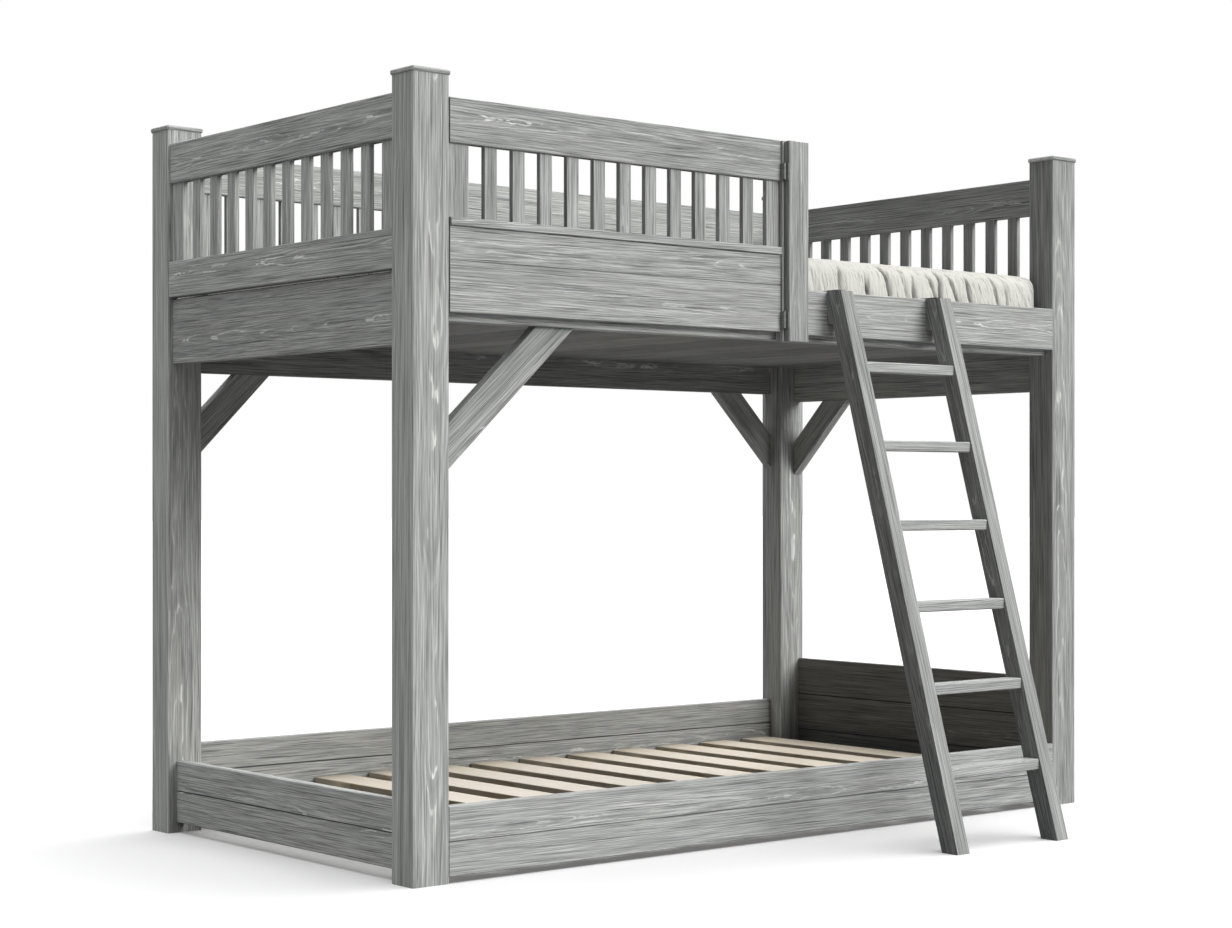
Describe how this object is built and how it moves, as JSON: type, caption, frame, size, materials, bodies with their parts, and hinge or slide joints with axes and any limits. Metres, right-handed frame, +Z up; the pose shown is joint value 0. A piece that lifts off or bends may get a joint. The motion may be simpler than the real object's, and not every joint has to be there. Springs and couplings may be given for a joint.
{
  "type": "bunk bed with ladder",
  "caption": "Twin-size bunk bed in grey wood with slatted guards, a hinged front guard gate, an upper mattress, a slatted lower bunk near the floor and a leaning lift-off ladder.",
  "frame": {"origin": "bottom centre of the whole bed's box, leaning ladder included", "axes": "+X along the bed towards the ladder's end, -Y the front where the ladder leans, +Z up"},
  "size_m": [2.125, 1.5232, 1.6983],
  "materials": {
    "grey_wood": "weathered grey stain with limed, whitish open grain, matt",
    "pine_slats": "bare planed pine",
    "mattress_cover": "off-white gathered knit, matt",
    "steel": "plain steel, satin"
  },
  "bodies": {
    "frame": {"brace_front_left": "grey_wood", "brace_rear_left": "grey_wood", "brace_rear_right": "grey_wood", "brace_right_end": "grey_wood", "cap_front_left": "grey_wood", "cap_front_right": "grey_wood", "cap_rear_left": "grey_wood", "cap_rear_right": "grey_wood", "deck_panel": "grey_wood", "front_fascia_rail": "grey_wood", "gate_jamb_strip": "grey_wood", "gate_stub_post": "grey_wood", "hinge_lower_post_leaf": "steel", "hinge_upper_post_leaf": "steel", "left_guard_bottom_rail": "grey_wood", "left_guard_slats": "grey_wood", "left_guard_top_rail": "grey_wood", "lower_board_front": "grey_wood", "lower_board_left": "grey_wood", "lower_board_rear": "grey_wood", "lower_board_right": "grey_wood", "mattress": "mattress_cover", "post_front_left": "grey_wood", "post_front_right": "grey_wood", "post_rear_left": "grey_wood", "post_rear_right": "grey_wood", "rear_guard_ledge": "grey_wood", "rear_guard_plank": "grey_wood", "rear_guard_slats": "grey_wood", "rear_guard_top_rail": "grey_wood", "right_guard_bottom_rail": "grey_wood", "right_guard_slats": "grey_wood", "right_guard_top_rail": "grey_wood", "slat_base": "pine_slats", "slat_bearer_front": "grey_wood", "slat_bearer_rear": "grey_wood", "upper_end_board_left": "grey_wood", "upper_end_board_right": "grey_wood", "upper_side_rail_front": "grey_wood", "upper_side_rail_rear": "grey_wood"},
    "gate": {"gate_ledge": "grey_wood", "gate_lower_plank": "grey_wood", "gate_slats": "grey_wood", "gate_top_rail": "grey_wood", "gate_upper_plank": "grey_wood", "hinge_lower_gate_leaf": "steel", "hinge_upper_gate_leaf": "steel"},
    "ladder": {"ladder_hook_left": "steel", "ladder_hook_right": "steel", "ladder_rung_1": "grey_wood", "ladder_rung_2": "grey_wood", "ladder_rung_3": "grey_wood", "ladder_rung_4": "grey_wood", "ladder_rung_5": "grey_wood", "ladder_rung_6": "grey_wood", "ladder_stringer_left": "grey_wood", "ladder_stringer_right": "grey_wood"}
  },
  "joints": [
    {"name": "gate_swing", "type": "hinge", "parent": "frame", "child": "gate", "pos_m": [-0.00925, -0.35475, 1.194], "axis": [0, 0, 1], "range_deg": [0, 90]},
    {"name": "ladder_lift", "type": "slide", "parent": "frame", "child": "ladder", "axis": [0, 0, 1], "range_m": [0, 0.06]}
  ]
}
